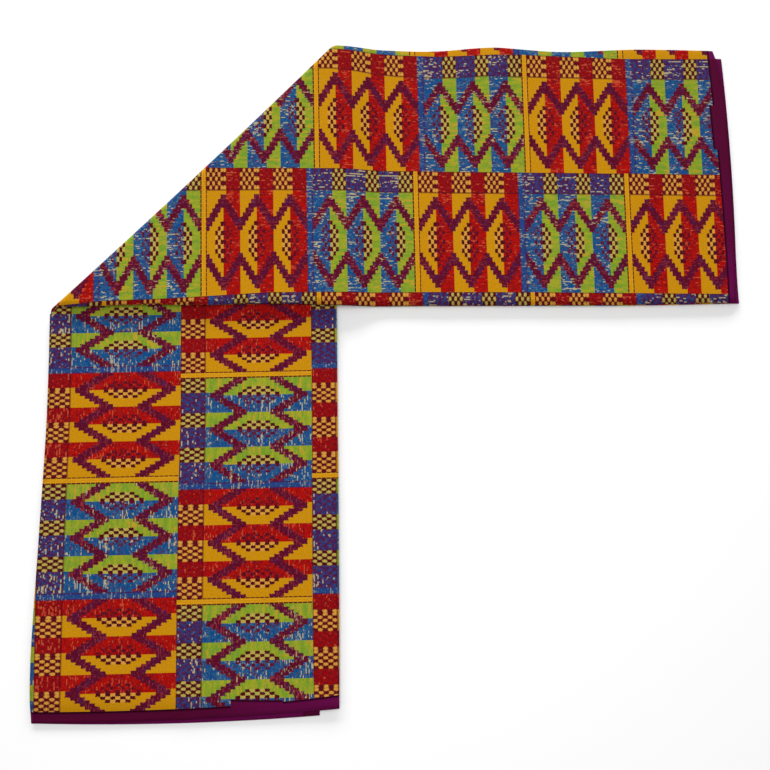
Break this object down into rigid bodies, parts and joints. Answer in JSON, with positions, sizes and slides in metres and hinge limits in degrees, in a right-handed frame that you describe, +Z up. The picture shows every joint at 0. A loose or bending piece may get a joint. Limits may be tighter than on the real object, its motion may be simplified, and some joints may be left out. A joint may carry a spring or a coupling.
{
  "type": "folded ankara fabric",
  "caption": "Length of printed cotton cloth, pleated into a flat strip and folded over a diagonal crease into an L, lying flat.",
  "frame": {"origin": "middle of the outline's box, on the surface that the cloth lies on", "axes": "+Z up; +Y from the first selvedge along the first arm, towards the second arm's upper fold; +X along the second arm, towards the last selvedge"},
  "size_m": [0.7328, 0.7253, 0.0108],
  "materials": {
    "printed_cotton": "woven cotton with a printed zigzag and lozenge strip pattern in yellow, red, blue, green and purple, and plain purple selvedges"
  },
  "bodies": {
    "root": {"folded_cloth": "printed_cotton"}
  },
  "joints": []
}
